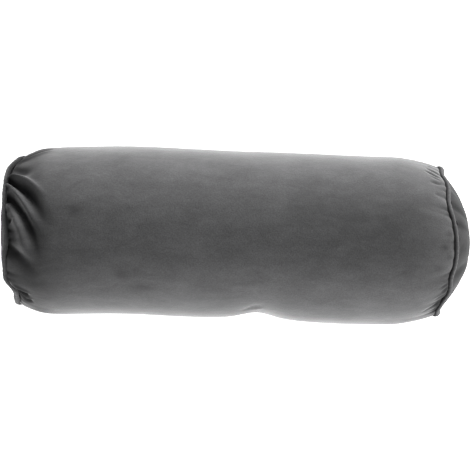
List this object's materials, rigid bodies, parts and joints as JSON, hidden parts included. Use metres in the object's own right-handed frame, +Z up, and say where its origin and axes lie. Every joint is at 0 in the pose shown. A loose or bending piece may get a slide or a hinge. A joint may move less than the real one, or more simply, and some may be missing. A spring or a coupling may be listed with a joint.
{
  "type": "neck roll pillow",
  "caption": "Velvet bolster pillow with gathered, piped seams and a domed panel at each end, lying on its side, to support the neck or back.",
  "frame": {"origin": "on the surface that the roll lies on, under the middle of its outline", "axes": "+X along the roll towards the end with the fuller dome, +Y across it, +Z up from the surface"},
  "size_m": [0.4961, 0.1864, 0.1675],
  "materials": {
    "barrel_velvet": "short-pile charcoal velvet with a pale sheen at grazing angles",
    "panel_velvet": "the same charcoal velvet, stretched over the domed ends",
    "piping_velvet": "charcoal velvet wrapped tight round a cord"
  },
  "bodies": {
    "root": {"filled_barrel": "barrel_velvet", "end_panel_left": "panel_velvet", "end_panel_right": "panel_velvet", "piping_left": "piping_velvet", "piping_right": "piping_velvet"}
  },
  "joints": []
}
